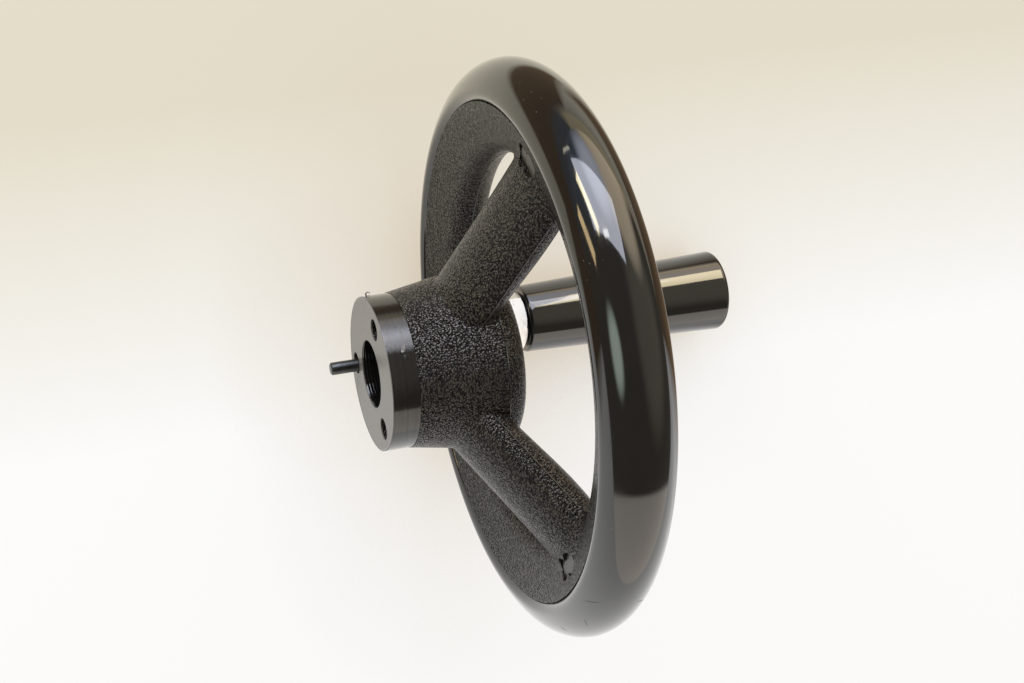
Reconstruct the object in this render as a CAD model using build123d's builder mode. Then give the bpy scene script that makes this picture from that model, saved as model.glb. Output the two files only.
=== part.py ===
"""Three-spoke dished machine handwheel with a revolving handle, in millimetres.

The origin is the centre of the hub's machined face. The wheel turns about Y: the hub face looks along +Y,
towards the machine, and the handle points along -Y, towards the operator. +Z is up. "Depth" is the distance
from the hub face along -Y, and "radius" is the distance from the wheel's axis.
"""

from build123d import *
import os
from math import asin, atan, cos, degrees, hypot, radians, sin, sqrt, tan

os.makedirs("parts", exist_ok=True)

# ---- Rim: glossy outer ring with an elliptical section ------------------------------------------------
wheel_diameter = 181.8
rim_section_width = 29.6  # radial size of the full section ellipse
rim_section_depth = 24.9  # axial size of the full section ellipse
rim_mid_depth = 52.5  # depth of the rim's middle plane below the hub face
rim_lip_radius = 0.8  # rounding where the rim stands proud of the textured ring
tongue_width = 9.0  # axial width of the ring's tongue inside the rim
tongue_height = 5.0  # how far the tongue reaches into the rim

# ---- Inner ring: wedge section with a rounded nose ----------------------------------------------------
rim_height = 12.6  # radial height of the glossy rim over the seam with the textured ring
ring_height = 9.6  # from the seam in to the centre of the nose's arc
ring_nose_radius = 7.0
ring_face_taper = 18.4  # degrees by which each side face of the ring opens outwards

# ---- Hub ----------------------------------------------------------------------------------------------
hub_face_diameter = 47.5
hub_band_length = 8.4  # turned band behind the face
hub_step = 0.25  # the moulded cone starts this much above the turned band
hub_parting_depth = 34.7  # depth of the hub's widest circle
hub_back_draft = 10.0  # degrees by which the hub widens from the band to its widest circle
hub_length = 41.5
hub_front_draft = 12.0  # degrees by which the hub narrows in front of its widest circle
hub_front_radius = 6.0  # rounding of the hub's front edge

# ---- Bore, drive holes and drive pin ------------------------------------------------------------------
bore_diameter = 20.9  # crest diameter of the fine internal thread
bore_chamfer = 0.8  # at the front end only
drive_hole_circle = 35.3
drive_hole_diameter = 6.8
drive_hole_depth = 12.0
drive_hole_turn = -3.85  # degrees from the spokes' centre lines
pin_spoke = 2  # the hole behind this spoke, counted from the first, holds the pin
pin_diameter = 4.0
pin_length = 32.0
pin_projection = 8.8
pin_chamfer = 0.4
pin_circle = 32.9  # the pin sits off its recess's centre, nearer the wheel's axis
pin_turn = -2.4

# ---- Spokes: elliptical sections along a slanting line --------------------------------------------------
spoke_count = 3
spoke_angles = (60.0, -60.0, 180.0)  # degrees from +Z
spoke_face_radius = 23.5  # a point on the line down the middle of the spoke's hub-side face
spoke_face_depth = 19.3
spoke_width_hub = 28.6
spoke_width_ring = 29.8
spoke_thickness = 17.4
spoke_thin_length = 14.0  # the spoke thins inside the ring, to stay behind the ring's front face
spoke_front_margin = 0.5
valley_inset = 8.6  # from the seam in to where the spoke's hub-side face meets the ring
spoke_root_wall = 4.0  # the spoke's section starts this far outside the bore
ring_joint_overlap = 0.3
spoke_hub_fillet = 1.4
spoke_ring_fillet = 4.0

# ---- Twin spot-faced pockets in the valley between each spoke and the ring ------------------------------
pocket_diameter = 7.0
pocket_inset = 8.1  # from the seam in to the pockets' centres
pocket_spread = 5.8  # between the two pockets' centres, across the spoke
pocket_sink = 0.6  # the shallower floor's depth below the valley
pocket_floor_step = 0.35
pocket_deeper_side = (-1, 1, -1)  # which of each spoke's two pockets is deeper
pocket_clearing = 8.0

# ---- Handle -------------------------------------------------------------------------------------------
handle_inset = 15.4  # from the wheel's outer edge to the handle's axis
handle_angle = 181.4  # degrees from +Z: just past the third spoke's centre line
boss_diameter = 24.0
boss_height = 0.55  # the seat stands this much in front of the rim
insert_diameter = 17.0
insert_length = 16.0
insert_chamfer = 0.6
shank_diameter = 12.0
shank_length = 14.0
shank_chamfer = 1.0
hex_width = 19.0
hex_length = 9.1
hex_chamfer_angle = 30.0
hex_face_share = 0.95  # flat end face's diameter as a share of the hexagon's width
hex_corner_angle = 51.4  # one of the corners, in degrees from +Z
journal_diameter = 12.0
journal_chamfer = 0.8
journal_tail = 5.0  # journal left beyond the ring groove
ring_thickness = 1.2
ring_seat_diameter = 10.4
ring_outer_diameter = 13.6
ring_gap = 4.0
ring_side_clearance = 0.4
ring_groove_clearance = 0.3
grip_length = 77.6
grip_gap = 0.3  # between the hexagon and the grip
grip_base_diameter = 24.0
grip_end_diameter = 29.2
grip_base_rounding = 1.0
grip_end_rounding = 2.0
grip_end_crown = 0.8
grip_end_wall = 8.0
running_clearance = 0.05
journal_end_gap = 1.5

# ---- Worked-out sizes ---------------------------------------------------------------------------------
rim_centre_radius = (wheel_diameter - rim_section_width) / 2
seam_radius = wheel_diameter / 2 - rim_height
ring_nose_centre = seam_radius - ring_height  # radius of the circle on which the nose arc's centre lies
handle_circle_radius = wheel_diameter / 2 - handle_inset
rim_front_depth = rim_mid_depth + rim_section_depth / 2
taper = radians(ring_face_taper)
hub_parting_radius = hub_face_diameter / 2 + hub_step
hub_parting_radius += (hub_parting_depth - hub_band_length) * tan(radians(hub_back_draft))
lip_radius = ring_nose_centre - ring_nose_radius * sin(taper)  # where nose arc and side face meet
lip_half = ring_nose_radius * cos(taper)
seam_half = lip_half + (seam_radius - lip_radius) * tan(taper)
valley_radius = seam_radius - valley_inset
valley_depth = rim_mid_depth - lip_half - (valley_radius - lip_radius) * tan(taper)
spoke_slope = (valley_depth - spoke_face_depth) / (valley_radius - spoke_face_radius)
slant = atan(spoke_slope)
spoke_end_radius = seam_radius - ring_joint_overlap
spoke_thin_radius = spoke_end_radius - spoke_thin_length
# Normal to the spoke's face, from that face to the ring's front face less the margin.
spoke_end_room = rim_mid_depth + lip_half + (spoke_end_radius - lip_radius) * tan(taper)
spoke_end_room -= spoke_face_depth + (spoke_end_radius - spoke_face_radius) * spoke_slope
spoke_end_thickness = spoke_end_room / (cos(slant) + tan(taper) * sin(slant)) - spoke_front_margin
pocket_circle_radius = seam_radius - pocket_inset
pocket_floor = valley_depth + pocket_sink
seat_depth = rim_front_depth + boss_height
boss_root_depth = rim_mid_depth - tongue_width / 2
grip_start = seat_depth + hex_length + grip_gap
grip_bore_end = grip_start + grip_length - grip_end_wall
journal_end = grip_bore_end - journal_end_gap
ring_depth = journal_end - journal_tail - ring_thickness
grip_end = grip_start + grip_length
grip_bore_radius = journal_diameter / 2 + running_clearance
pin_angle = spoke_angles[pin_spoke] + pin_turn
pin_root_depth = pin_length - pin_projection


def at(depth, radius):
    """A point of a section drawn on Plane.YZ: local x is Y, local y is Z."""
    return (-depth, radius)


def around(angle, radius):
    """The X and Z of a point at an angle from +Z, turning towards +X."""
    return radius * sin(radians(angle)), radius * cos(radians(angle))


def facing_operator(angle, radius, depth):
    """A plane square to the wheel's axis whose z direction points along -Y."""
    x, z = around(angle, radius)
    return Plane(origin=(x, -depth, z), x_dir=(1, 0, 0), z_dir=(0, -1, 0))


def facing_machine(angle, radius, depth):
    """A plane square to the wheel's axis whose z direction points along +Y."""
    x, z = around(angle, radius)
    return Plane(origin=(x, -depth, z), x_dir=(1, 0, 0), z_dir=(0, 1, 0))


def from_axis(shape):
    """Distance of a shape's centre from the wheel's axis."""
    centre = shape.center()
    return hypot(centre.X, centre.Z)


handle_x, handle_z = around(handle_angle, handle_circle_radius)
handle_axis = Axis((handle_x, 0, handle_z), (0, -1, 0))
# Sections of the handle's parts: local x is the depth, local y the distance from the handle's own axis.
handle_section = Plane(origin=(handle_x, 0, handle_z), x_dir=(0, -1, 0), z_dir=(1, 0, 0))

# ---- Wheel core: hub, spokes and inner ring in one moulding ---------------------------------------------
with BuildPart() as hub_blank:
    with BuildSketch(Plane.YZ):
        with BuildLine():
            face_r = hub_face_diameter / 2
            front_r = hub_parting_radius - (hub_length - hub_parting_depth) * sin(radians(hub_front_draft))
            Polyline(
                at(0, 0),
                at(0, face_r),
                at(hub_band_length, face_r),
                at(hub_band_length, face_r + hub_step),
                at(hub_parting_depth, hub_parting_radius),
                at(hub_length, front_r),
                at(hub_length, 0),
                at(0, 0),
            )
        make_face()
    revolve(axis=Axis.Y)
    front_edges = hub_blank.edges().filter_by(GeomType.CIRCLE).group_by(Axis.Y)[0]
    fillet(front_edges, hub_front_radius)

with BuildPart() as spoke_blank:
    stations = (
        (bore_diameter / 2 + spoke_root_wall, spoke_width_hub, spoke_thickness),
        ((spoke_face_radius + spoke_thin_radius) / 2, (spoke_width_hub + spoke_width_ring) / 2, spoke_thickness),
        (spoke_thin_radius, spoke_width_ring, spoke_thickness),
        (spoke_end_radius, spoke_width_ring, spoke_end_thickness),
    )
    for radius, width, thickness in stations:
        # Each section hangs in front of the straight line down the middle of the hub-side face.
        face_depth = spoke_face_depth + (radius - spoke_face_radius) * spoke_slope
        depth = face_depth + thickness / 2 * cos(slant)
        height = radius - thickness / 2 * sin(slant)
        square = Plane(origin=(0, -depth, height), x_dir=(1, 0, 0), z_dir=(0, -sin(slant), cos(slant)))
        with BuildSketch(square):
            Ellipse(width / 2, thickness / 2)
    loft()

with BuildPart() as wheel_core:
    add(hub_blank.part)
    with BuildSketch(Plane.YZ):
        with BuildLine():
            # Half of the ring's section on the hub side, then the same on the operator's side.
            ThreePointArc(
                at(rim_mid_depth - lip_half, lip_radius),
                at(rim_mid_depth, ring_nose_centre - ring_nose_radius),
                at(rim_mid_depth + lip_half, lip_radius),
            )
            Polyline(
                at(rim_mid_depth + lip_half, lip_radius),
                at(rim_mid_depth + seam_half, seam_radius),
                at(rim_mid_depth + tongue_width / 2, seam_radius),
                at(rim_mid_depth + tongue_width / 2, seam_radius + tongue_height),
                at(rim_mid_depth - tongue_width / 2, seam_radius + tongue_height),
                at(rim_mid_depth - tongue_width / 2, seam_radius),
                at(rim_mid_depth - seam_half, seam_radius),
                at(rim_mid_depth - lip_half, lip_radius),
            )
        make_face()
    revolve(axis=Axis.Y)
    for angle in spoke_angles:
        add(spoke_blank.part.rotate(Axis.Y, angle))

    # Round the edges where the spokes run into the hub and into the ring.
    root_reach = hub_parting_radius / 2
    end_reach = ring_nose_radius
    crossings = [edge for edge in wheel_core.edges() if edge.geom_type == GeomType.BSPLINE]
    roots = [edge for edge in crossings if abs(from_axis(edge) - hub_parting_radius) < root_reach]
    ends = [edge for edge in crossings if abs(from_axis(edge) - lip_radius) < end_reach]
    fillet(ends, spoke_ring_fillet)
    fillet(roots, spoke_hub_fillet)

    # A cylindrical boss carries the handle in front of the rim.
    with BuildSketch(facing_operator(handle_angle, handle_circle_radius, boss_root_depth)):
        Circle(boss_diameter / 2)
    extrude(amount=seat_depth - boss_root_depth)

    # Twin pockets, flat-bottomed and square to the wheel's axis.
    for angle, deeper in zip(spoke_angles, pocket_deeper_side):
        for side in (-1, 1):
            floor = pocket_floor + (pocket_floor_step if side == deeper else 0)
            swing = side * degrees(asin(pocket_spread / 2 / pocket_circle_radius))
            with BuildSketch(facing_machine(angle + swing, pocket_circle_radius, floor)):
                Circle(pocket_diameter / 2)
            extrude(amount=pocket_clearing, mode=Mode.SUBTRACT)

    # Threaded bore, chamfered at the front.
    with BuildSketch(Plane.YZ):
        with BuildLine():
            bore_r = bore_diameter / 2
            Polyline(
                at(-1, 0),
                at(-1, bore_r),
                at(hub_length - bore_chamfer, bore_r),
                at(hub_length, bore_r + bore_chamfer),
                at(hub_length + 1, bore_r + bore_chamfer),
                at(hub_length + 1, 0),
                at(-1, 0),
            )
        make_face()
    revolve(axis=Axis.Y, mode=Mode.SUBTRACT)

    # Three recesses in the hub face, and the pressed-in pin's own hole in the floor of one of them.
    for angle in spoke_angles:
        with BuildSketch(facing_machine(angle + drive_hole_turn, drive_hole_circle / 2, drive_hole_depth)):
            Circle(drive_hole_diameter / 2)
        extrude(amount=drive_hole_depth, mode=Mode.SUBTRACT)
    with BuildSketch(facing_machine(pin_angle, pin_circle / 2, pin_root_depth)):
        Circle(pin_diameter / 2)
    extrude(amount=pin_root_depth - drive_hole_depth, mode=Mode.SUBTRACT)

    # Pocket for the threaded insert.
    with BuildSketch(facing_operator(handle_angle, handle_circle_radius, seat_depth - insert_length)):
        Circle(insert_diameter / 2)
    extrude(amount=insert_length, mode=Mode.SUBTRACT)

wheel_core.part.label = "wheel_core"
export_step(wheel_core.part, "parts/wheel_core.step")

# ---- Rim ------------------------------------------------------------------------------------------------
with BuildPart() as rim:
    with BuildSketch(Plane.YZ) as rim_sketch:
        with Locations(at(rim_mid_depth, rim_centre_radius)):
            Ellipse(rim_section_depth / 2, rim_section_width / 2)
        with Locations(at(rim_mid_depth, seam_radius)):
            Rectangle(rim_section_depth, rim_section_width, align=(Align.CENTER, Align.MAX), mode=Mode.SUBTRACT)
        lips = [corner for corner in rim_sketch.vertices() if abs(corner.Y - seam_radius) < rim_lip_radius / 10]
        fillet(lips, rim_lip_radius)
        with Locations(at(rim_mid_depth, seam_radius)):
            Rectangle(tongue_width, 2 * tongue_height, mode=Mode.SUBTRACT)
    revolve(axis=Axis.Y)
    with BuildSketch(facing_operator(handle_angle, handle_circle_radius, boss_root_depth)):
        Circle(boss_diameter / 2)
    extrude(amount=seat_depth - boss_root_depth, mode=Mode.SUBTRACT)

rim.part.label = "rim"
export_step(rim.part, "parts/rim.step")

# ---- Drive pin: parallel pin pressed into the hub ---------------------------------------------------------
with BuildPart() as drive_pin:
    with BuildSketch(facing_machine(pin_angle, pin_circle / 2, pin_root_depth)):
        Circle(pin_diameter / 2)
    extrude(amount=pin_length)
    chamfer(drive_pin.edges().filter_by(GeomType.CIRCLE), pin_chamfer)

drive_pin.part.label = "drive_pin"
export_step(drive_pin.part, "parts/drive_pin.step")

# ---- Threaded insert that takes the handle's spindle ------------------------------------------------------
with BuildPart() as handle_insert:
    with BuildSketch(handle_section):
        with BuildLine():
            Polyline(
                (seat_depth - insert_length, shank_diameter / 2),
                (seat_depth - insert_length, insert_diameter / 2),
                (seat_depth, insert_diameter / 2),
                (seat_depth, shank_diameter / 2 + insert_chamfer),
                (seat_depth - insert_chamfer, shank_diameter / 2),
                (seat_depth - insert_length, shank_diameter / 2),
            )
        make_face()
    revolve(axis=handle_axis)

handle_insert.part.label = "handle_insert"
export_step(handle_insert.part, "parts/handle_insert.step")

# ---- Handle spindle: threaded shank, hexagon and journal in one -------------------------------------------
with BuildPart() as handle_spindle:
    with BuildSketch(facing_operator(handle_angle, handle_circle_radius, seat_depth)):
        RegularPolygon(hex_width / 2, 6, major_radius=False, rotation=90 - hex_corner_angle)
    extrude(amount=hex_length)
    # The hexagon's corners are turned off to a cone at the grip's end.
    with BuildSketch(handle_section):
        with BuildLine():
            hex_end = seat_depth + hex_length
            cone_out = hex_width
            cone_in = hex_width / 2 * hex_face_share
            Polyline(
                (hex_end, cone_in),
                (hex_end, cone_out),
                (hex_end - (cone_out - cone_in) * tan(radians(hex_chamfer_angle)), cone_out),
                (hex_end, cone_in),
            )
        make_face()
    revolve(axis=handle_axis, mode=Mode.SUBTRACT)
    # Shank and journal, with the retaining ring's groove near the journal's end.
    with BuildSketch(handle_section):
        with BuildLine():
            Polyline(
                (seat_depth - shank_length, 0),
                (seat_depth - shank_length, shank_diameter / 2 - shank_chamfer),
                (seat_depth - shank_length + shank_chamfer, shank_diameter / 2),
                (seat_depth, shank_diameter / 2),
                (seat_depth + hex_length, journal_diameter / 2),
                (ring_depth, journal_diameter / 2),
                (ring_depth, ring_seat_diameter / 2),
                (ring_depth + ring_thickness, ring_seat_diameter / 2),
                (ring_depth + ring_thickness, journal_diameter / 2),
                (journal_end - journal_chamfer, journal_diameter / 2),
                (journal_end, journal_diameter / 2 - journal_chamfer),
                (journal_end, 0),
                (seat_depth - shank_length, 0),
            )
        make_face()
    revolve(axis=handle_axis)

handle_spindle.part.label = "handle_spindle"
export_step(handle_spindle.part, "parts/handle_spindle.step")

# ---- Retaining ring sprung into the journal's groove ------------------------------------------------------
with BuildPart() as snap_ring:
    with BuildSketch(facing_operator(handle_angle, handle_circle_radius, ring_depth)):
        Circle(ring_outer_diameter / 2)
        Circle(ring_seat_diameter / 2, mode=Mode.SUBTRACT)
        Rectangle(ring_outer_diameter, ring_gap, align=(Align.MIN, Align.CENTER), mode=Mode.SUBTRACT)
    extrude(amount=ring_thickness)

snap_ring.part.label = "snap_ring"
export_step(snap_ring.part, "parts/snap_ring.step")

# ---- Revolving grip: turns on the journal, held by the retaining ring in its inner groove -----------------
with BuildPart() as handle_grip:
    with BuildSketch(handle_section) as grip_sketch:
        with BuildLine():
            edge_depth = grip_end - grip_end_crown
            edge_radius = grip_end_diameter / 2
            crown_radius = (edge_radius**2 + grip_end_crown**2) / (2 * grip_end_crown)
            crown_middle = grip_end - crown_radius + sqrt(crown_radius**2 - (edge_radius / 2) ** 2)
            groove_start = ring_depth - ring_side_clearance
            groove_end = ring_depth + ring_thickness + ring_side_clearance
            groove_radius = ring_outer_diameter / 2 + ring_groove_clearance
            Polyline(
                (grip_bore_end, 0),
                (grip_bore_end, grip_bore_radius),
                (groove_end, grip_bore_radius),
                (groove_end, groove_radius),
                (groove_start, groove_radius),
                (groove_start, grip_bore_radius),
                (grip_start, grip_bore_radius),
                (grip_start, grip_base_diameter / 2),
                (edge_depth, edge_radius),
            )
            ThreePointArc((edge_depth, edge_radius), (crown_middle, edge_radius / 2), (grip_end, 0))
            Line((grip_end, 0), (grip_bore_end, 0))
        make_face()
        fillet(grip_sketch.vertices().sort_by(Axis.Y)[-1], grip_end_rounding)
        outer_corners = [corner for corner in grip_sketch.vertices() if corner.Y > groove_radius]
        fillet(min(outer_corners, key=lambda corner: corner.X), grip_base_rounding)
    revolve(axis=handle_axis)

handle_grip.part.label = "handle_grip"
export_step(handle_grip.part, "parts/handle_grip.step")
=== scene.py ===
"""Looks of a dished three-spoke machine handwheel with a revolving handle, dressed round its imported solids.

Shapes are worked out in millimetres and put into the meshes in metres. The origin is the centre of the
hub's machined face and the wheel's axis is Y. "Depth" is the distance from the hub face along -Y, "radius"
is the distance from the wheel's axis, and an "angle" of 0 is +Z, turning towards +X. A "sweep" goes round
the rim's section, from 0 on the side of the hub face to 90 degrees at the rim's outermost line.
"""

import math

import bmesh
import bpy
import numpy as np
from mathutils import Euler, Matrix, Vector


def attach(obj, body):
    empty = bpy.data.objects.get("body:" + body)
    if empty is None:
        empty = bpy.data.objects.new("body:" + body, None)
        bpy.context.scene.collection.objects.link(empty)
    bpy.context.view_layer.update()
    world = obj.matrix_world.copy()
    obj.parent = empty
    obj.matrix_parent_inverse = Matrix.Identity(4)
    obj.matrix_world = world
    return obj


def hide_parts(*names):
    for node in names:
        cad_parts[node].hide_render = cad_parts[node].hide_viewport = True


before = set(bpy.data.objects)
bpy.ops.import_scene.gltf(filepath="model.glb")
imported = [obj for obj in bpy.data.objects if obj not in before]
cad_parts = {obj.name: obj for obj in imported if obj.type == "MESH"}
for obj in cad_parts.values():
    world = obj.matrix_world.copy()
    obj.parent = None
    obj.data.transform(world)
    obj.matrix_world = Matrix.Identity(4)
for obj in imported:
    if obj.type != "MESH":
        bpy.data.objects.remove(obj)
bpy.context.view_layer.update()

MM = 0.001
TAU = 2 * math.pi

# ---- Sizes in millimetres, as in the solids -----------------------------------------------------------
WHEEL_RADIUS = 90.9
RIM_MID = 52.5
RIM_HALF_WIDTH = 14.8
RIM_HALF_DEPTH = 12.45
RIM_CENTRE = WHEEL_RADIUS - RIM_HALF_WIDTH
SEAM = 78.3
TONGUE_HALF = 4.5
TONGUE_HEIGHT = 5.0
NOSE_RADIUS = 7.0
NOSE_CENTRE = 68.7

HUB_RADIUS = 23.75
HUB_LENGTH = 41.5
HUB_TAPER = 10.0
BAND_LENGTH = 8.4
BAND_STEP = 0.25  # the moulded cone starts this much above the turned band
PARTING_DEPTH = 34.7
PARTING_RADIUS = HUB_RADIUS + BAND_STEP + (PARTING_DEPTH - BAND_LENGTH) * math.tan(math.radians(HUB_TAPER))
BORE_RADIUS = 10.45
BORE_CHAMFER = 0.8

PIN_CIRCLE = 16.45
PIN_ANGLE = 177.6
PIN_RADIUS = 2.0
PIN_OUT = 8.8
PIN_ROOT = 23.2
PIN_CHAMFER = 0.4
PIN_ROUNDINGS = (0.12, 0.25)  # on the outer chamfer's two edges

SPOKE_ANGLES = (60.0, -60.0, 180.0)
SPOKE_FACE_RADIUS = 23.5
SPOKE_FACE_DEPTH = 19.3
SPOKE_SLOPE = 0.5517
SPOKE_HALF_WIDTHS = (14.3, 14.9)
SPOKE_WIDTH_RADII = (14.0, 64.0)  # the radii at which the spokes have those half widths
SPOKE_THICKNESS = 17.4

POCKET_CIRCLE = 70.2
POCKET_SPREAD = 5.8
POCKET_RADIUS = 3.49
POCKET_BOTTOM = 45.35

HANDLE_CIRCLE = 75.5
HANDLE_ANGLE = 181.4
SEAT = 65.5
HEX_LENGTH = 9.1
GRIP_GAP = 0.3
GRIP_START = SEAT + HEX_LENGTH + GRIP_GAP
GRIP_LENGTH = 77.6
GRIP_BASE_RADIUS = 12.0
GRIP_END_RADIUS = 14.6
GRIP_BASE_ROUNDING = 1.0
GRIP_END_ROUNDING = 2.0
GRIP_CROWN = 0.8
GRIP_BORE = 6.05
GRIP_END_WALL = 8.0
GRIP_BORE_END = GRIP_START + GRIP_LENGTH - GRIP_END_WALL

# ---- Sizes in millimetres of what is only seen --------------------------------------------------------
RIM_EDGE_START = 83.0  # the radius at which the rim starts to fall away towards the seam
RIM_EDGE_FALL = 2.3
RIM_EDGE_POWER = 3.2

BAND_PROUD = 0.03
BAND_START = 0.2
BAND_ROUNDING = 0.2
BAND_BURIED = (0.6, 0.3)  # how deep its front and back edges lie under the hub's surface
BAND_LIP = 0.3  # how far its front edge reaches back inside the hub

THREAD_START = 0.05
THREAD_PITCH = 1.0
THREAD_HEIGHT = 0.07
THREAD_CLEAR = 0.1  # how far its root stands off the bore's wall
THREAD_SUNK = 0.05  # how far its first and last turn run into the wall
THREAD_RUN_OUT = 0.7

RIDGE_RUN = (24.0, 63.5)  # the distances from the wheel's axis between which a spoke's ridge runs
RIDGE_HALF_THICK = 0.22
RIDGE_HALF_HIGH = 0.16

POCKET_SHALLOW = 44.5
POCKET_DEEP = 44.95
POCKET_DEEP_SIDES = (1, -1, 1)  # which of each spoke's two pockets is the deeper one

FLAKE_ANGLES = (21.2, 27.2)
FLAKE_DEPTHS = (4.6, 5.9)
FLAKE_ROOT = 0.08
FLAKE_LIFT = 0.42
FLAKE_HALF_WIDTH = 0.62
FLAKE_HALF_THICK = 0.07

FLASH_ANGLES = (-2.0, 17.0)
CHIP_PLACE = (27.6, 0.3)  # angle and depth of the chip on the face's edge
# A painted shadow: a dark rough blob beside the flake, where the flake's shadow falls
FLAKE_SHADOW_PLACE = (18.0, 5.3)  # angle and depth of the dark mark beside the flake

CURL_ANGLE = 92.0
CURL_DEPTH = 2.0
CURL_LOOP = 0.62
CURL_TURN = (0.2, 5.9)  # from where to where the loop runs, in radians
CURL_OUT = 0.55
CURL_RISE = 0.12  # sideways, for each radian of the loop
CURL_ASIDE = -0.3
CURL_THICK = 0.2
CURL_TIP = 0.25  # how much of a half wave of thickness is cut off at each end, in radians

# Specks and scratches on the rim, as (angle, sweep) places in degrees
SPECK_RUN = (0.25, 0.6)
SPECK_WIDTH = 0.1
RIM_SPECKS = (
    (68.9, 56.3), (63.7, 59.8), (60.3, 65.1), (63.5, 46.1), (57.9, 50.4), (-27.3, 43.2), (65.1, 38.0),
)
SCRATCH_WIDTH = 0.14
RIM_SCRATCHES = (
    ((-51.9, 32.0), (-48.0, 54.0)),
    ((-58.0, 47.0), (-61.1, 59.0)),
    ((-47.2, 101.0), (-49.2, 118.5)),
    ((-72.0, 40.0), (-71.0, 51.0)),
    ((-18.1, 49.8), (-18.6, 51.5)),
)

# ---- How finely the pieces are divided ----------------------------------------------------------------
RIM_ROWS, RIM_COLUMNS = 180, 540
CROWN_ROWS, GRIP_COLUMNS = 24, 256
PIN_COLUMNS = 96
BAND_ROWS, BAND_COLUMNS = 260, 300
THREAD_ROWS, THREAD_COLUMNS = 8, 160  # rows to a pitch
RIDGE_ROWS, RIDGE_COLUMNS = 12, 400  # of a ridge round the axis
SPOKE_RIDGE_ROWS, SPOKE_RIDGE_COLUMNS = 120, 10
POCKET_COLUMNS = 64
FLAKE_ROWS, FLAKE_COLUMNS = 24, 16
FLASH_ROWS, FLASH_COLUMNS = 60, 10
SCRATCH_ROWS, SCRATCH_COLUMNS = 40, 8
CURL_ROWS, CURL_COLUMNS = 60, 10
BLOB_ROWS, BLOB_COLUMNS = 13, 20
SMOOTH_ANGLE = 35.0  # edges that bend more than this stay sharp
WELD = 2e-7  # points nearer than this are one point, in metres

# ---- Stage: angles in degrees, the camera's place in millimetres, all other lengths in metres ----------
CAMERA_PLACE = (86.82, 118.27, 494.94)
CAMERA_TURN = (-7.123, -19.183, -96.159)
CAMERA_AXES = Euler([math.radians(value) for value in CAMERA_TURN]).to_matrix()
CAMERA_SENSOR = 36.0
CAMERA_LENS = 59.5
CAMERA_NEAR = 0.01
LAMP_DISTANCE = 1.5

FLOOR_HALF = 3.0
FLOOR_GLOW = 0.86  # the share of its own light in what the camera and reflections see
FLOOR_WHITE = (0.998, 0.995, 0.99, 1.0)
FLOOR_CREAM = (0.78, 0.73, 0.595, 1.0)
# Painted shadow: the floor's colour turns browner where the wheel stands close over it, set by these values
FLOOR_PAINTED_SHADOW = (0.7, 0.6, 0.46, 1.0)
FLOOR_FADE = (-0.03, 0.085)  # from white to cream along X
FLOOR_SHADOW_REACH = 0.08  # how far up the floor looks for something above it
FLOOR_SHADOW_OPEN = (0.35, 0.93)  # from browner to open

# Painted reflections on the floor, which only reflections see: dark patches that stand for a darker room, and
# a beige one further off. A patch is the product of its ramps, and a ramp goes from a place where the patch
# is clear to one where it is full.
REFLECTION_DARK = (0.2, 0.135, 0.08, 1.0)
REFLECTION_DARK_FAR = (0.17, 0.185, 0.21, 1.0)
REFLECTION_DARK_TURN = (0.45, 0.7)
REFLECTION_BEIGE = (1.0, 0.84, 0.54, 1.0)
REFLECTION_BEIGE_RAMPS = (((0.5, 0.8),), (0.05, -0.1))
REFLECTION_DARK_RAMPS = (  # for each patch, its ramps along X and its ramp along Y
    (((0.165, 0.182),), (-0.18, -0.14)),
    (((-0.15, -0.05),), (0.29, 0.33)),
    (((-0.15, -0.05), (0.3, 0.22)), (-0.15, -0.2)),
)

WARM = (1.1, 1.0, 0.82)
ROOM_GROUND = (0.17, 0.15, 0.125, 1.0)
# Each stretch: turn and rise of its middle, the angles from there at which it starts to fade and is gone,
# its colour and its glow
ROOM_STRETCHES = (
    (180, -62, 57, 60, (1.1, 1.0, 0.9), 1.2),
    (-78, 62, 25, 50, (0.8, 1.0, 1.25), 0.26),
    (122, 64, 16, 34, (1.22, 1.0, 0.66), 1.8),
    (56, 10, 20, 45, WARM, 0.42),
    (68, 50, 12, 29, (1.2, 1.0, 0.74), 1.9),
    (-39, -10, 6, 16, (0.86, 1.0, 0.88), 2.3),
    (4, 64, 6, 24, (0.92, 0.97, 1.12), 2.2),
)
LAMPS = (  # name, turn, rise, wide, high, lean, glow, colour
    ("window", -4, 48.5, 60, 31, 0, 3.9, (0.93, 0.97, 1.12)),
    ("lamp", -37.5, 39, 24, 7.5, -36, 8.0, (1.15, 1.0, 0.62)),
    ("low_lamp", -57, 20, 18, 7, -33, 3.6, (1.35, 1.0, 0.52)),
    ("shelf_lamp", -8, 35, 12, 3, 16, 5.5, (1.0, 1.0, 0.95)),
    ("handle_lamp", 47, 46, 12, 24, -20, 5.5, (1.15, 1.0, 0.66)),
    ("slit", -63, 53, 16, 1.6, 54, 2.6, WARM),
)


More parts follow.
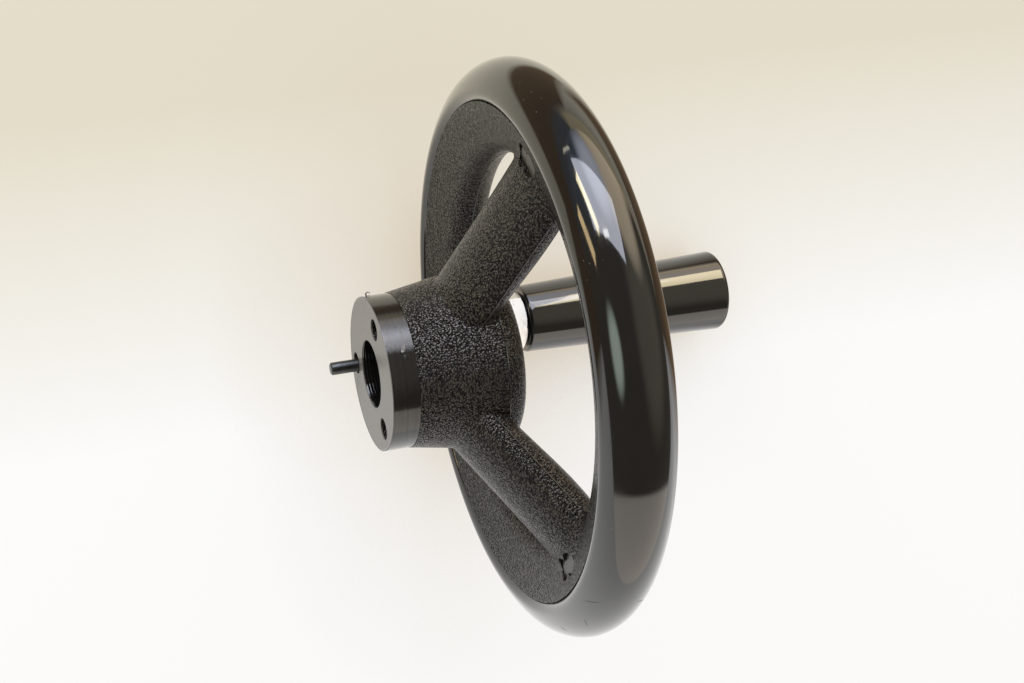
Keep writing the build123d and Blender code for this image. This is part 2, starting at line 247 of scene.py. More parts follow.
# ---- Meshes -------------------------------------------------------------------------------------------
def mesh_from(name, grids):
    """A mesh from grids of points in mm, each given with whether its rows and its columns close round:
    neighbours in a grid are joined by quads, doubles are merged, and the faces are turned outwards."""
    points, faces, start = [], [], 0
    for grid, round_rows, round_columns in grids:
        rows, columns = grid.shape[:2]
        index = np.arange(rows * columns).reshape(rows, columns) + start
        if round_rows:
            index = np.vstack([index, index[:1]])
        if round_columns:
            index = np.hstack([index, index[:, :1]])
        corners = [index[:-1, :-1], index[1:, :-1], index[1:, 1:], index[:-1, 1:]]
        faces.append(np.stack(corners, -1).reshape(-1, 4))
        points.append(grid.reshape(-1, 3))
        start += rows * columns
    points = (np.vstack(points) * MM).astype(np.float32)
    faces = np.vstack(faces).astype(np.int32)
    mesh = bpy.data.meshes.new(name)
    mesh.vertices.add(len(points))
    mesh.vertices.foreach_set("co", points.ravel())
    mesh.loops.add(faces.size)
    mesh.loops.foreach_set("vertex_index", faces.ravel())
    mesh.polygons.add(len(faces))
    mesh.polygons.foreach_set("loop_start", np.arange(0, faces.size, 4, dtype=np.int32))
    mesh.update(calc_edges=True)
    work = bmesh.new()
    work.from_mesh(mesh)
    bmesh.ops.remove_doubles(work, verts=work.verts, dist=WELD)
    bmesh.ops.recalc_face_normals(work, faces=work.faces)
    work.to_mesh(mesh)
    work.free()
    mesh.shade_smooth()
    mesh.set_sharp_from_angle(angle=math.radians(SMOOTH_ANGLE))
    return mesh


def piece(name, grids, body, finish, replaced=()):
    """A piece of the wheel made of grids, riding on a body, its finish and the nodes it
    replaces."""
    mesh = mesh_from(name, grids)
    mesh.materials.append(finish)
    made = bpy.data.objects.new(name, mesh)
    bpy.context.scene.collection.objects.link(made)
    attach(made, body)
    if replaced:
        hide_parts(*replaced)


def unit(vector):
    """A flat vector with its length made 1."""
    return vector / np.hypot(*vector)


def rounded(corners, step=0.3):
    """A line through (x, y, radius) corners in which each corner with a radius is a tangent arc of short
    steps, its centre on the corner's bisector, radius / sin(half the corner's angle) from the corner."""
    corners = [np.array(corner, float) for corner in corners]
    line = [corners[0][:2]]
    for before, here, after in zip(corners, corners[1:], corners[2:]):
        corner, radius = here[:2], here[2]
        if radius <= 0:
            line.append(corner)
            continue
        back = unit(before[:2] - corner)
        on = unit(after[:2] - corner)
        half = math.acos(max(-1.0, min(1.0, float(back @ on)))) / 2
        centre = corner + unit(back + on) * radius / math.sin(half)
        arm = corner + back * radius / math.tan(half) - centre
        bend = (math.pi - 2 * half) * (1 if arm[0] * on[1] - arm[1] * on[0] > 0 else -1)
        bends = np.linspace(0, bend, max(5, int(radius * abs(bend) / step)))
        s, c = np.sin(bends), np.cos(bends)
        line.extend(centre + np.stack([arm[0] * c - arm[1] * s, arm[0] * s + arm[1] * c], -1))
    line.append(corners[-1][:2])
    return np.array(line)


def divided(line, step):
    """The same line with points put in, so that no run is longer than the step."""
    runs = []
    for start, end in zip(line, line[1:]):
        count = max(1, math.ceil(np.hypot(*(end - start)) / step))
        runs.append(start + (end - start) * np.linspace(0, 1, count, endpoint=False)[:, None])
    return np.vstack([*runs, line[-1:]])


def ring(count):
    """So many angles spaced evenly round a full turn."""
    return np.linspace(0, TAU, count, endpoint=False)


def round_axis(angle, radius, depth, centre=(0.0, 0.0)):
    """Points round an axis along Y from angles, radii and depths: (X + r sin a, -depth, Z + r cos a)."""
    angle, radius, depth = np.broadcast_arrays(angle, radius, depth)
    return np.stack([centre[0] + radius * np.sin(angle), -depth, centre[1] + radius * np.cos(angle)], -1)


def turned(profile, columns, centre=(0.0, 0.0)):
    """A profile of (depth, radius) points carried round an axis along Y."""
    return round_axis(ring(columns), profile[:, 1:], profile[:, :1], centre)


def facing(degrees, out, depth, across):
    """Points given outwards, in depth and across, for the direction at an angle round the wheel's axis:
    (out sin a + across cos a, -depth, out cos a - across sin a)."""
    s, c = math.sin(math.radians(degrees)), math.cos(math.radians(degrees))
    return np.stack([out * s + across * c, -depth, out * c - across * s], -1)


def on_circle(radius, radians):
    """X and Z of a place on a circle round the wheel's axis."""
    return radius * math.sin(radians), radius * math.cos(radians)


# ---- Shapes -------------------------------------------------------------------------------------------
def rim_grid():
    """The rim's section carried round the wheel: an ellipse outside the seam whose edges fall away towards
    the seam as a power of the distance from where the fall starts, and the groove for the ring's tongue."""
    lean = math.asin((SEAM - RIM_CENTRE) / RIM_HALF_WIDTH)
    sweep = np.linspace(lean, math.pi - lean, RIM_ROWS)
    radius = RIM_CENTRE + RIM_HALF_WIDTH * np.sin(sweep)
    share = np.clip((RIM_EDGE_START - radius) / (RIM_EDGE_START - SEAM), 0, 1)
    fall = RIM_EDGE_FALL * share**RIM_EDGE_POWER
    depth = RIM_MID - RIM_HALF_DEPTH * np.cos(sweep) + fall * np.sign(np.cos(sweep))
    floor_radius = SEAM + TONGUE_HEIGHT
    groove = np.array([(RIM_MID + TONGUE_HALF, SEAM), (RIM_MID + TONGUE_HALF, floor_radius),
                       (RIM_MID - TONGUE_HALF, floor_radius), (RIM_MID - TONGUE_HALF, SEAM)])
    return turned(np.vstack([np.stack([depth, radius], -1), groove]), RIM_COLUMNS), True, True


def grip_grid():
    """The grip's section carried round the handle's axis: a straight taper with rounded ends and a faint
    crown, and the plain bore that runs on the spindle."""
    edge = GRIP_START + GRIP_LENGTH - GRIP_CROWN
    rise = np.linspace(1, 0, CROWN_ROWS)
    crown = np.stack([edge + GRIP_CROWN * (1 - rise**2), GRIP_END_RADIUS * rise], -1)
    first = 5  # the crown takes over here from the rounded edge
    outside = rounded([(GRIP_START, GRIP_BORE, 0), (GRIP_START, GRIP_BASE_RADIUS, GRIP_BASE_ROUNDING),
                       (edge, GRIP_END_RADIUS, GRIP_END_ROUNDING), (*crown[first - 1], 0)], step=0.12)
    bore = np.array([(GRIP_BORE_END, 0.0), (GRIP_BORE_END, GRIP_BORE), (GRIP_START, GRIP_BORE)])
    profile = np.vstack([bore, divided(outside, step=1.5), crown[first:]])
    return turned(profile, GRIP_COLUMNS, on_circle(HANDLE_CIRCLE, math.radians(HANDLE_ANGLE))), False, True


def pin_grid():
    """The drive pin's section carried round its own axis: a plain cylinder with small chamfers, the outer
    one a little rounded."""
    flat = PIN_RADIUS - PIN_CHAMFER
    inner, outer = PIN_ROUNDINGS
    profile = rounded([(-PIN_OUT, 0, 0), (-PIN_OUT, flat, inner),
                       (-PIN_OUT + PIN_CHAMFER, PIN_RADIUS, outer), (PIN_ROOT - PIN_CHAMFER, PIN_RADIUS, 0),
                       (PIN_ROOT, flat, 0), (PIN_ROOT, 0, 0)], step=0.05)
    centre = on_circle(PIN_CIRCLE, math.radians(PIN_ANGLE))
    return turned(divided(profile, step=1.0), PIN_COLUMNS, centre), False, True


def band_grid():
    """The turned band behind the hub face: a sleeve a hair over the solid, its face edge broken, with
    turning marks a few thousandths of a millimetre deep, two sine waves along its length of which the
    slower one swells and fades."""
    depth = np.linspace(BAND_START, BAND_LENGTH, BAND_ROWS)
    coarse = 0.008 * np.sin(depth * 19.0) * np.sin(depth * 2.3 + 1.0)
    fine = 0.006 * np.sin(depth * 41.0 + 2.0)
    skin = HUB_RADIUS + BAND_PROUD
    front, back = (HUB_RADIUS - buried for buried in BAND_BURIED)
    outside = np.stack([depth, skin + (coarse + fine)], -1)
    edge = [(-BAND_PROUD, front, 0), (-BAND_PROUD, skin, BAND_ROUNDING), (*outside[0], 0)]
    corner = rounded(edge, step=0.03)
    inner = np.array([(BAND_LENGTH, back), (BAND_LIP, front)])
    return turned(np.vstack([corner[:-1], outside, inner]), BAND_COLUMNS), True, True


def thread_grid():
    """The fine internal thread: radius = root - height * tooth, the tooth being a triangle wave of
    depth / pitch - angle / turn with its root and crest cut flat. The root stands a hair off the bore's
    wall, and the thread runs out into the wall at both ends."""
    depth = np.arange(THREAD_START, HUB_LENGTH - BORE_CHAMFER, THREAD_PITCH / THREAD_ROWS)[:, None]
    angle = np.linspace(0, TAU, THREAD_COLUMNS + 1)
    phase = depth / THREAD_PITCH - angle / TAU
    wave = np.abs(2 * (phase - np.floor(phase)) - 1)
    slope, root_flat = 1.35, 0.15
    tooth = np.clip(slope * wave - root_flat, 0, 1)
    ends = np.clip(np.minimum(depth, depth[-1] - depth) / THREAD_RUN_OUT, 0, 1)
    radius = BORE_RADIUS + THREAD_SUNK - (THREAD_SUNK + THREAD_CLEAR + THREAD_HEIGHT * tooth) * ends
    return round_axis(angle, radius, depth), False, False


def ridge_round(depth, radius, height, width):
    """A low ridge round the wheel's axis: an ellipse centred on a circle, so that half of it stands out."""
    swing = ring(RIDGE_ROWS)
    profile = np.stack([depth + width * np.cos(swing), radius + height * np.sin(swing)], -1)
    return turned(profile, RIDGE_COLUMNS), True, True


def spoke_ridge(degrees, side):
    """The parting line along one side of a spoke: a small ellipse carried along the widest points of the
    spoke's section, its place wandering by a few hundredths of a millimetre as the sum of two sine waves."""
    along = np.linspace(*RIDGE_RUN, SPOKE_RIDGE_ROWS)[:, None]
    lean = math.atan(SPOKE_SLOPE)
    (inner, outer), (wide, wider) = SPOKE_WIDTH_RADII, SPOKE_HALF_WIDTHS
    half_width = wide + (wider - wide) * ((along - inner) / (outer - inner))
    wander = 0.02 * np.sin(along * 1.7) + 0.015 * np.sin(along * 4.1)
    swing = ring(SPOKE_RIDGE_COLUMNS)
    thick = SPOKE_THICKNESS / 2 + RIDGE_HALF_THICK * np.cos(swing)
    out = along - thick * math.sin(lean)
    depth = SPOKE_FACE_DEPTH + (along - SPOKE_FACE_RADIUS) * SPOKE_SLOPE + thick * math.cos(lean)
    across = side * (half_width + wander + RIDGE_HALF_HIGH * np.sin(swing))
    return facing(degrees, out, depth, across), False, True


def pocket_floor(spoke, side, depth):
    """The floor of one of a spoke's two pockets: a flat disc that fills the recess up to a depth."""
    angle = math.radians(spoke) + side * math.asin(POCKET_SPREAD / 2 / POCKET_CIRCLE)
    edge = 0.1
    profile = np.array([(POCKET_BOTTOM, 0.0), (POCKET_BOTTOM, POCKET_RADIUS), (depth + edge, POCKET_RADIUS),
                        (depth, POCKET_RADIUS - edge), (depth, 0.0)])
    return turned(profile, POCKET_COLUMNS, on_circle(POCKET_CIRCLE, angle)), False, True


def flake_grid():
    """A flake torn up from the band: an ellipse carried along a short arc round the hub, rising from the
    band as the square of the distance from its root, and drifting along the axis. Its size is 1 less the
    sixth power of the distance from its middle."""
    share = np.linspace(0, 1, FLAKE_ROWS)[:, None]
    swing = ring(FLAKE_COLUMNS)
    full = 1 - (2 * share - 1) ** 6
    angle = np.radians(FLAKE_ANGLES[0] + (FLAKE_ANGLES[1] - FLAKE_ANGLES[0]) * share)
    middle_radius = HUB_RADIUS + FLAKE_ROOT + FLAKE_LIFT * (1 - share) ** 2
    radius = middle_radius + FLAKE_HALF_THICK * full * np.sin(swing)
    middle_depth = FLAKE_DEPTHS[0] + (FLAKE_DEPTHS[1] - FLAKE_DEPTHS[0]) * share
    return round_axis(angle, radius, middle_depth + FLAKE_HALF_WIDTH * full * np.cos(swing)), False, True


def hub_blob(degrees, depth, radius, along, around, high):
    """A small ellipsoid on the hub: its half lengths along the axis, round it and outwards times the sines
    and cosines of two angles."""
    down = np.linspace(0, math.pi, BLOB_ROWS)[:, None]
    swing = ring(BLOB_COLUMNS)
    angle = math.radians(degrees) + around / radius * np.sin(down) * np.sin(swing)
    deep = depth + along * np.sin(down) * np.cos(swing)
    return round_axis(angle, radius + high * np.cos(down), deep), False, True


def flash_grid(first, last, height, width):
    """A length of flash on the hub's parting line: an ellipse carried round the hub between two angles, its
    size the square root of the sine of the share of the way, a little uneven."""
    share = np.linspace(0, 1, FLASH_ROWS)[:, None]
    swing = ring(FLASH_COLUMNS)
    uneven = 1 + 0.15 * np.sin(share * 37)
    full = np.sin(math.pi * share) ** 0.5 * uneven
    radius = PARTING_RADIUS + height * full * np.sin(swing)
    angle = np.radians(first + (last - first) * share)
    return round_axis(angle, radius, PARTING_DEPTH + width * full * np.cos(swing)), False, True


def scratch_grid(start, end, width):
    """A scratch on the rim: a fine flat thread laid along a straight line in the rim's two angles, round the
    wheel and round the section, half sunk in the skin and thinning towards both ends."""
    share = np.linspace(0, 1, SCRATCH_ROWS)
    angle, sweep = np.radians([first + (last - first) * share for first, last in zip(start, end)])
    round_wheel = np.stack([np.sin(angle), 0 * angle, np.cos(angle)], -1)
    axis = np.array([0.0, -1.0, 0.0])
    radius = (RIM_CENTRE + RIM_HALF_WIDTH * np.sin(sweep))[:, None]
    path = radius * round_wheel + (RIM_MID - RIM_HALF_DEPTH * np.cos(sweep))[:, None] * axis
    normal = (np.sin(sweep) / RIM_HALF_WIDTH)[:, None] * round_wheel
    normal -= (np.cos(sweep) / RIM_HALF_DEPTH)[:, None] * axis
    normal /= np.linalg.norm(normal, axis=-1, keepdims=True)
    across = np.cross(normal, np.gradient(path, axis=0))
    across /= np.linalg.norm(across, axis=-1, keepdims=True)
    swing = ring(SCRATCH_COLUMNS)[:, None]
    flatness = 0.35
    section = flatness * np.cos(swing) * normal[:, None] + np.sin(swing) * across[:, None]
    return path[:, None] + width * np.sin(math.pi * share)[:, None, None] * section, False, True


def curl_grid():
    """A curl of swarf left on the face's edge: a round thread of plastic carried along an open loop,
    (loop radius x cos u, loop radius x sin u, a slow rise with u), thinning towards both ends."""
    u = np.linspace(*CURL_TURN, CURL_ROWS)[:, None]
    swing = ring(CURL_COLUMNS)
    thick = CURL_THICK * np.sin(np.linspace(CURL_TIP, math.pi - CURL_TIP, CURL_ROWS))[:, None]
    reach = CURL_LOOP + thick * np.cos(swing)
    out = HUB_RADIUS + CURL_OUT + reach * np.sin(u)
    across = CURL_RISE * u + CURL_ASIDE + thick * np.sin(swing)
    return facing(CURL_ANGLE, out, CURL_DEPTH + reach * np.cos(u), across), False, True


# ---- Materials: scales are features to the metre, depths and distances are in metres ------------------
PLASTIC_IOR = 1.6
SKIN_IOR = 1.5
TORN_IOR = 1.5


class Nodes:
    """A node tree, with short ways of adding to it."""

    # For each kind of value, the numbers of a Mix node's two inputs and of its output
    MIXES = {"FLOAT": (2, 3, 0), "VECTOR": (4, 5, 1), "RGBA": (6, 7, 2)}

    def __init__(self, tree):
        self.tree = tree

    def node(self, kind, inputs, **settings):
        """A node with its settings, each input given a value or another node's output."""
        made = self.tree.nodes.new(kind)
        for setting, value in settings.items():
            setattr(made, setting, value)
        for key, value in inputs.items():
            if isinstance(value, bpy.types.NodeSocket):
                self.tree.links.new(value, made.inputs[key])
            else:
                made.inputs[key].default_value = value
        return made

    def add(self, kind, inputs, output=0, **settings):
        """One output of a new node."""
        return self.node(kind, inputs, **settings).outputs[output]

    def spread(self, value, low, high, to_low=0.0, to_high=1.0, **settings):
        """A value taken from one range to another and held inside it."""
        inputs = {"Value": value, "From Min": low, "From Max": high, "To Min": to_low, "To Max": to_high}
        return self.add("ShaderNodeMapRange", inputs, **settings)

    def join(self, operation, first, second=0.0):
        """Two numbers joined by an operation."""
        return self.add("ShaderNodeMath", {0: first, 1: second}, operation=operation)

    def blend(self, kind, amount, first, second):
        """A value of some kind between two others."""
        low, high, output = self.MIXES[kind]
        inputs = {"Factor": amount, low: first, high: second}
        return self.add("ShaderNodeMix", inputs, output, data_type=kind)

    def mix(self, amount, first, second):
        """A colour between two colours."""
        return self.blend("RGBA", amount, first, second)

    def between(self, amount, first, second):
        """A number between two numbers."""
        return self.blend("FLOAT", amount, first, second)


class Finish(Nodes):
    """A principled material, with short ways of adding textures in the object's own space."""

    def __init__(self, name, **sockets):
        self.material = bpy.data.materials.new(name)
        self.material.use_nodes = True
        super().__init__(self.material.node_tree)
        self.shader = self.tree.nodes["Principled BSDF"]
        for socket, value in sockets.items():
            self.shader.inputs[socket.replace("_", " ")].default_value = value
        self.place = self.tree.nodes.new("ShaderNodeTexCoord").outputs["Object"]

    def put(self, socket, output):
        """Feeds a texture into one of the shader's sockets."""
        self.tree.links.new(output, self.shader.inputs[socket])

    def stretched(self, stretch):
        """The place, scaled by a different amount along each axis."""
        return self.add("ShaderNodeMapping", {"Vector": self.place, "Scale": stretch})

    def noise(self, scale, detail=2.0, roughness=0.5, distortion=0.0, place=None):
        """Cloudy noise of so many features to the metre."""
        inputs = {"Vector": place or self.place, "Scale": scale, "Detail": detail, "Roughness": roughness}
        return self.add("ShaderNodeTexNoise", {**inputs, "Distortion": distortion})

    def cells(self, scale, feature="F1", place=None, **inputs):
        """Distance to scattered points, so many to the metre."""
        inputs = {"Vector": place or self.place, "Scale": scale, "Randomness": 1.0, **inputs}
        return self.add("ShaderNodeTexVoronoi", inputs, feature=feature)

    def bump(self, height, distance, under=None):
        """A bump of so many metres for a height of 1, laid over another one if it is given."""
        inputs = {"Height": height, "Distance": distance, "Strength": 1.0}
        if under is not None:
            inputs["Normal"] = under
        return self.add("ShaderNodeBump", inputs)

    def split(self):
        """The place's X, Y and Z."""
        return self.node("ShaderNodeSeparateXYZ", {"Vector": self.place}).outputs

    def depth_and_radius(self):
        """Depth below the hub face and distance from the wheel's axis, in metres."""
        parts = self.split()
        flat = self.add("ShaderNodeCombineXYZ", {"X": parts["X"], "Z": parts["Z"]})
        radius = self.add("ShaderNodeVectorMath", {0: flat}, output="Value", operation="LENGTH")
        return self.join("MULTIPLY", parts["Y"], -1.0), radius


def grey(value, warmth=0.0):
    """A neutral colour, or one a little warmer."""
    return (value * (1 + warmth), value, value * (1 - warmth), 1.0)


def moulded_finish():
    """Black moulding with a pebbled grain, darkened by painted shade in its valleys, and the same plastic
    laid bare on the hub's machined face.
    """
    pebble_scale, pebble_drift, grain_depth, turning_depth = 1550.0, 0.0004, 0.0004, 0.00001
    face_depth, bore_radius = (0.0003, 0.0005), (0.0108, 0.0112)  # where the bared face and bore end
    black, brown_black, pore_shade_black = grey(0.024, 0.24), grey(0.044, 0.26), grey(0.004, 0.1)
    bare_dark, bare_pale = grey(0.12, 0.07), grey(0.2, 0.07)
    finish = Finish("moulded_black", IOR=PLASTIC_IOR, Coat_IOR=SKIN_IOR, Coat_Roughness=0.15)

    depth, radius = finish.depth_and_radius()
    face = finish.join("MAXIMUM", finish.spread(depth, *face_depth, 1.0, 0.0),
                       finish.spread(radius, *bore_radius, 1.0, 0.0))

    cloudy = {"Vector": finish.place, "Scale": 900.0, "Detail": 1.0}
    drift = finish.add("ShaderNodeTexNoise", cloudy, output="Color")
    bent = finish.add("ShaderNodeVectorMath", {0: drift, "Scale": pebble_drift}, operation="SCALE")
    place = finish.add("ShaderNodeVectorMath", {0: finish.place, 1: bent}, operation="ADD")
    pebbles = finish.cells(pebble_scale, "SMOOTH_F1", place, Smoothness=0.2)
    hollows = finish.noise(3200.0, 2.0, 0.6, 0.5)
    domes = finish.join("MULTIPLY", pebbles, pebbles)
    height = finish.join("SUBTRACT", finish.spread(hollows, 0.2, 0.8, 0.0, 0.06), domes)
    turning = finish.noise(1800.0, 3.0, 0.6, place=finish.add("ShaderNodeCombineXYZ", {"X": radius}))
    grain, smooth = finish.bump(height, grain_depth), finish.bump(turning, turning_depth)
    normal = finish.blend("VECTOR", face, grain, smooth)
    finish.put("Normal", normal)
    finish.put("Coat Normal", normal)

    # Painted shade: the coat and the specular level are turned down in the grain's valleys
    valley_shaded_reflection = finish.spread(pebbles, 0.22, 0.5, 1.1, 0.3)
    finish.put("Coat Weight", finish.between(face, finish.join("MULTIPLY", valley_shaded_reflection, 0.4), 0.0))
    finish.put("Specular IOR Level", finish.between(face, finish.join("MULTIPLY", valley_shaded_reflection, 0.5), 0.5))
    cloud = finish.spread(finish.noise(70.0, 3.0), 0.3, 0.7)
    # Painted shade: the grain's valleys between the pebbles are coloured near black
    pore_shade = finish.spread(pebbles, 0.3, 0.55)
    moulded = finish.mix(pore_shade, finish.mix(cloud, black, brown_black), pore_shade_black)
    bare = finish.mix(finish.spread(turning, 0.3, 0.7), bare_dark, bare_pale)
    finish.put("Base Color", finish.mix(face, moulded, bare))
    finish.put("Roughness", finish.between(face, finish.spread(cloud, 0, 1, 0.22, 0.3), 0.34))
    return finish.material


def turned_finish():
    """The same plastic turned smooth: fine marks round the axis, and a soft sheen."""
    mark_depth, wave_depth = 0.000012, 0.00003
    skin = {"Coat_Weight": 0.5, "Coat_IOR": SKIN_IOR, "Coat_Roughness": 0.1}
    finish = Finish("turned_black", IOR=PLASTIC_IOR, **skin)
    depth = finish.depth_and_radius()[0]
    marks = finish.noise(3000.0, 3.0, 0.6, place=finish.add("ShaderNodeCombineXYZ", {"X": depth}))
    waves = finish.bump(finish.noise(260.0), wave_depth)
    finish.put("Normal", finish.bump(marks, mark_depth, waves))
    finish.put("Base Color", finish.mix(finish.noise(200.0), grey(0.003), grey(0.009, 0.08)))
    finish.put("Roughness", finish.spread(finish.noise(500.0, 3.0), 0.3, 0.7, 0.09, 0.16))
    return finish.material


def gloss_finish(name, dust):
    """Black moulding with a polished skin: a barely wavy surface, fine hairlines and a little dust."""
    hair_depth, wave_depth = 0.000003, 0.00008
    finish = Finish(name, IOR=PLASTIC_IOR, Coat_Weight=0.8, Coat_IOR=SKIN_IOR, Coat_Roughness=0.02)
    hairs = finish.noise(900.0, 4.0, 0.7, 0.3, place=finish.stretched((1.0, 0.06, 1.0)))
    waves = finish.bump(finish.noise(45.0, 1.0, 0.4), wave_depth)
    finish.put("Normal", finish.bump(hairs, hair_depth, waves))
    specks = finish.spread(finish.cells(420.0), 0.05, 0.08, 1.0, 0.0)
    chosen = finish.spread(finish.noise(60.0), 0.62, 0.68)
    dirt = finish.join("MULTIPLY", finish.join("MULTIPLY", specks, chosen), dust)
    skin = finish.mix(finish.noise(60.0, 3.0), grey(0.003), grey(0.007, 0.15))
    finish.put("Base Color", finish.mix(dirt, skin, grey(0.35, 0.1)))
    smears = finish.spread(finish.noise(110.0, 4.0, 0.6), 0.35, 0.75, 0.05, 0.15)
    finish.put("Roughness", finish.join("MAXIMUM", smears, finish.join("MULTIPLY", dirt, 0.6)))
    return finish.material


def pocket_finish():
    """The flat floors of the pockets, smooth from the mould's pins."""
    ripple_depth = 0.00002
    finish = Finish("pocket_black", IOR=PLASTIC_IOR)
    finish.put("Base Color", finish.mix(finish.noise(900.0, 3.0), grey(0.018, 0.1), grey(0.04, 0.16)))
    finish.put("Roughness", finish.spread(finish.noise(1500.0), 0.3, 0.7, 0.3, 0.45))
    finish.put("Normal", finish.bump(finish.noise(1200.0), ripple_depth))
    return finish.material


def torn_and_shadow_finish(name, light, dark):
    """The plastic where it is torn or scuffed, and the same finish for a painted shadow: dull, and unevenly
    pale or dark.
    """
    tear_depth = 0.00004
    finish = Finish(name, IOR=TORN_IOR)
    patches = finish.spread(finish.noise(1500.0, 3.0), 0.35, 0.65)
    finish.put("Base Color", finish.mix(patches, light, dark))
    finish.put("Roughness", finish.spread(patches, 0, 1, 0.35, 0.55))
    finish.put("Normal", finish.bump(finish.noise(4000.0), tear_depth))
    return finish.material


def metal_finish(name, colour, roughness, scale=300.0):
    """Bare or plated metal with a faint unevenness."""
    scuff_depth = 0.000006
    dulled = tuple(share * 0.85 for share in colour)
    finish = Finish(name, Metallic=1.0)
    cloud = finish.spread(finish.noise(scale, 3.0), 0.3, 0.7)
    finish.put("Roughness", finish.spread(cloud, 0, 1, roughness * 0.8, roughness * 1.25))
    finish.put("Base Color", finish.mix(cloud, (*colour, 1.0), (*dulled, 1.0)))
    finish.put("Normal", finish.bump(finish.noise(scale * 8), scuff_depth))
    return finish.material


def stage_finish():
    """The floor's finish: cream further up, white elsewhere and browner with a painted shadow where the wheel
    stands close over it, with a share of its own glow for the camera and for reflections. Reflections also
    see
    painted reflections: dark patches and a beige one further out."""
    finish = Finish("pale_floor", Roughness=0.8)
    parts = finish.split()

    def patch(ramps_along, ramp_side):
        """The product of some ramps along X and one along Y."""
        share = finish.spread(parts["Y"], *ramp_side)
        for ramp in ramps_along:
            share = finish.join("MULTIPLY", share, finish.spread(parts["X"], *ramp))
        return share

    # Painted shadow: browner where something stands close above the floor
    shadow_openness = finish.add("ShaderNodeAmbientOcclusion", {"Distance": FLOOR_SHADOW_REACH}, "AO", samples=4)
    tint = finish.mix(finish.spread(parts["X"], *FLOOR_FADE), FLOOR_WHITE, FLOOR_CREAM)
    tint = finish.mix(finish.spread(shadow_openness, *FLOOR_SHADOW_OPEN), FLOOR_PAINTED_SHADOW, tint)
    finish.put("Base Color", tint)

    rays = finish.node("ShaderNodeLightPath", {}).outputs
    seen = finish.join("MAXIMUM", rays["Is Camera Ray"], rays["Is Glossy Ray"])
    # Painted reflections: dark patches and a beige one, seen by reflections only
    beige_reflection = patch(*REFLECTION_BEIGE_RAMPS)
    shade = beige_reflection
    for ramps in REFLECTION_DARK_RAMPS:
        shade = finish.join("MAXIMUM", shade, patch(*ramps))
    shade = finish.join("MULTIPLY", shade, rays["Is Glossy Ray"])
    dark = finish.mix(finish.spread(parts["X"], *REFLECTION_DARK_TURN), REFLECTION_DARK, REFLECTION_DARK_FAR)
    glow_colour = finish.mix(shade, tint, finish.mix(beige_reflection, dark, REFLECTION_BEIGE))
    own = finish.join("MAXIMUM", finish.join("MULTIPLY", seen, FLOOR_GLOW), shade)
    glow = finish.add("ShaderNodeEmission", {"Color": glow_colour, "Strength": 1.0})
    shown = finish.add("ShaderNodeMixShader", {0: own, 1: finish.shader.outputs[0], 2: glow})
    finish.tree.links.new(shown, finish.tree.nodes["Material Output"].inputs[0])
    return finish.material


# ---- Stage --------------------------------------------------------------------------------------------
def toward(turn, rise):
    """A direction from the wheel, in degrees to the right of the camera and above it."""
    turn, rise = math.radians(turn), math.radians(rise)
    level = math.cos(rise)
    return CAMERA_AXES @ Vector((level * math.sin(turn), math.sin(rise), level * math.cos(turn)))


def floor():
    """A pale floor that the wheel stands on."""
    corners = [(x * FLOOR_HALF, y * FLOOR_HALF, -WHEEL_RADIUS * MM)
               for x, y in ((-1, -1), (1, -1), (1, 1), (-1, 1))]
    mesh = bpy.data.meshes.new("floor")
    mesh.from_pydata(corners, [], [(0, 1, 2, 3)])
    mesh.materials.append(stage_finish())
    made = bpy.data.objects.new("floor", mesh)
    bpy.context.scene.collection.objects.link(made)


def room():
    """The light of a plain room: a dim warm ground with soft brighter stretches round some directions."""
    made = bpy.data.worlds.new("room")
    made.use_nodes = True
    sky = Nodes(made.node_tree)
    place = sky.node("ShaderNodeTexCoord", {}).outputs["Generated"]
    colour = ROOM_GROUND
    for turn, rise, inner, outer, tint, glow in ROOM_STRETCHES:
        middle = {0: place, 1: toward(turn, rise)}
        nearness = sky.add("ShaderNodeVectorMath", middle, output="Value", operation="DOT_PRODUCT")
        fade = sky.spread(nearness, math.cos(math.radians(outer)), math.cos(math.radians(inner)),
                          interpolation_type="SMOOTHSTEP")
        colour = sky.mix(fade, colour, (*(value * glow for value in tint), 1.0))
    sky.tree.links.new(colour, sky.tree.nodes["Background"].inputs["Color"])
    bpy.context.scene.world = made


def camera():
    """The camera, its place in mm and its turn in degrees."""
    lens = bpy.data.cameras.new("camera")
    lens.sensor_width = CAMERA_SENSOR
    lens.lens = CAMERA_LENS
    lens.clip_start = CAMERA_NEAR
    made = bpy.data.objects.new("camera", lens)
    made.location = [value * MM for value in CAMERA_PLACE]
    made.rotation_euler = CAMERA_AXES.to_euler()
    bpy.context.scene.collection.objects.link(made)
    bpy.context.scene.camera = made


def panel(name, turn, rise, wide, high, lean, glow, colour):
    """A soft lamp that looks so many degrees wide and high from the wheel, leaning anticlockwise by some
    degrees, with the glow of its surface."""
    lamp = bpy.data.lights.new(name, "AREA")
    lamp.shape = "RECTANGLE"
    lamp.size = 2 * LAMP_DISTANCE * math.tan(math.radians(wide / 2))
    lamp.size_y = 2 * LAMP_DISTANCE * math.tan(math.radians(high / 2))
    lamp.energy = glow * math.pi * lamp.size * lamp.size_y
    lamp.color = colour
    away = toward(turn, rise)
    level = CAMERA_AXES.col[1].cross(away).normalized()
    upright = away.cross(level)
    lean = math.radians(lean)
    across = level * math.cos(lean) + upright * math.sin(lean)
    axes = Matrix((across, away.cross(across), away)).transposed().to_4x4()
    axes.translation = away * LAMP_DISTANCE
    made = bpy.data.objects.new(name, lamp)
    made.matrix_world = axes
    made.visible_camera = False
    bpy.context.scene.collection.objects.link(made)


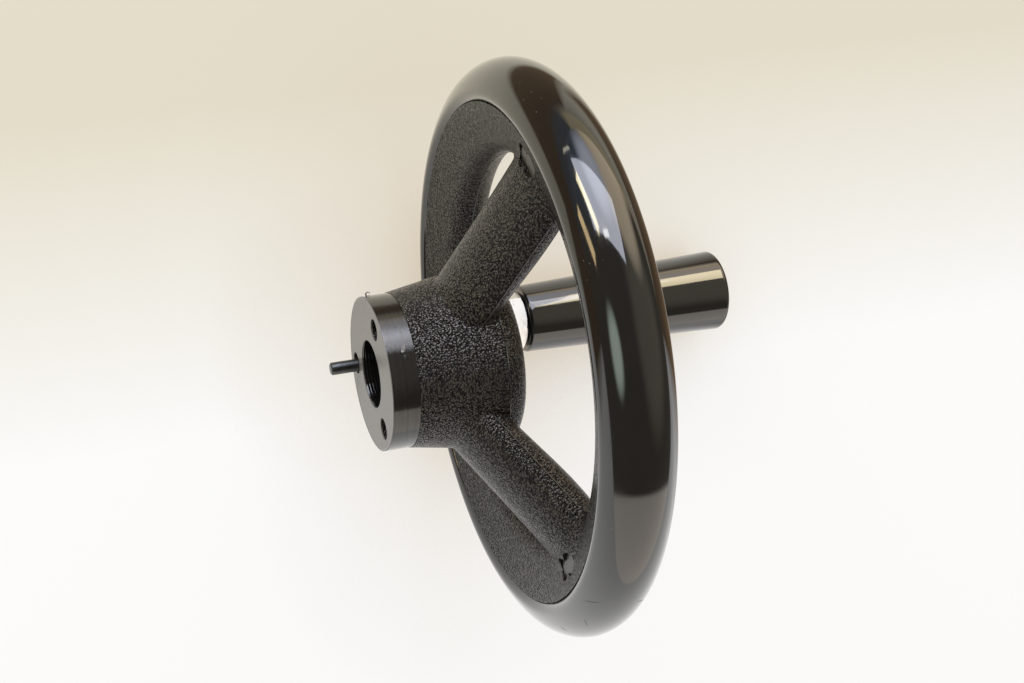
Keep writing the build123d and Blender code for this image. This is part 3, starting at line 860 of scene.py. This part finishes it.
def light_only(lamp, lit):
    """Lets a lamp reach one object and nothing else."""
    reached = bpy.data.collections.new(f"lit_by_{lamp}")
    reached.objects.link(bpy.data.objects[lit])
    bpy.data.objects[lamp].light_linking.receiver_collection = reached


# ---- Dressing -----------------------------------------------------------------------------------------
moulded_black = moulded_finish()
turned_black = turned_finish()
rim_gloss = gloss_finish("gloss_black", 0.6)
grip_gloss = gloss_finish("grip_black", 0.25)
zinc_plate = metal_finish("bright_zinc_plate", (0.93, 0.93, 0.91), 0.3)
pin_steel = metal_finish("dark_pin_steel", (0.1, 0.105, 0.11), 0.33, 900.0)
brass = metal_finish("turned_brass", (0.72, 0.53, 0.24), 0.3)
spring_steel = metal_finish("spring_steel", (0.22, 0.23, 0.26), 0.32)

for node, chosen in (("wheel_core", moulded_black), ("handle_insert", brass), ("handle_spindle", zinc_plate),
                     ("snap_ring", spring_steel)):
    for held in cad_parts[node].material_slots:
        held.material = chosen

piece("rim_skin", [rim_grid()], "wheel", rim_gloss, ["rim"])
piece("grip_skin", [grip_grid()], "grip", grip_gloss, ["handle_grip"])
piece("pin_turned", [pin_grid()], "wheel", pin_steel, ["drive_pin"])
piece("hub_band", [band_grid()], "wheel", turned_black)
piece("bore_thread", [thread_grid()], "wheel", turned_black)

ridges = [ridge_round(PARTING_DEPTH, PARTING_RADIUS, height=0.16, width=0.16),
          ridge_round(RIM_MID, NOSE_CENTRE - NOSE_RADIUS, height=0.14, width=0.18)]
ridges += [spoke_ridge(angle, side) for angle in SPOKE_ANGLES for side in (-1, 1)]
piece("parting_lines", ridges, "wheel", turned_black)

floors = [pocket_floor(spoke, side, POCKET_DEEP if side == deep else POCKET_SHALLOW)
          for spoke, deep in zip(SPOKE_ANGLES, POCKET_DEEP_SIDES) for side in (-1, 1)]
piece("pocket_floors", floors, "wheel", pocket_finish())

piece("face_curl", [curl_grid()], "wheel", turned_black)

# A flake on the band, flash on the parting line, a chip on the face's edge, and specks on the rim
torn = [flake_grid(), flash_grid(*FLASH_ANGLES, height=0.34, width=0.14),
        hub_blob(*CHIP_PLACE, HUB_RADIUS, along=0.25, around=0.35, high=0.05)]
torn += [scratch_grid(speck, np.add(speck, SPECK_RUN), SPECK_WIDTH) for speck in RIM_SPECKS]
torn_black = torn_and_shadow_finish("torn_black", grey(0.22, 0.05), grey(0.06, 0.12))
piece("torn_edges", torn, "wheel", torn_black)

# The painted shadow beside the flake, a dark rough blob, and scratches on the rim
scars = [hub_blob(*FLAKE_SHADOW_PLACE, HUB_RADIUS + BAND_PROUD, along=0.6, around=0.75, high=0.1)]
scars += [scratch_grid(*scratch, SCRATCH_WIDTH) for scratch in RIM_SCRATCHES]
shadow_and_scratch_black = torn_and_shadow_finish("shadow_and_scratch_black", grey(0.01), grey(0.002))
piece("scars", scars, "wheel", shadow_and_scratch_black)

floor()
room()
camera()
for lamp in LAMPS:
    panel(*lamp)
light_only("handle_lamp", "grip_skin")

bpy.context.scene.view_settings.view_transform = "Standard"
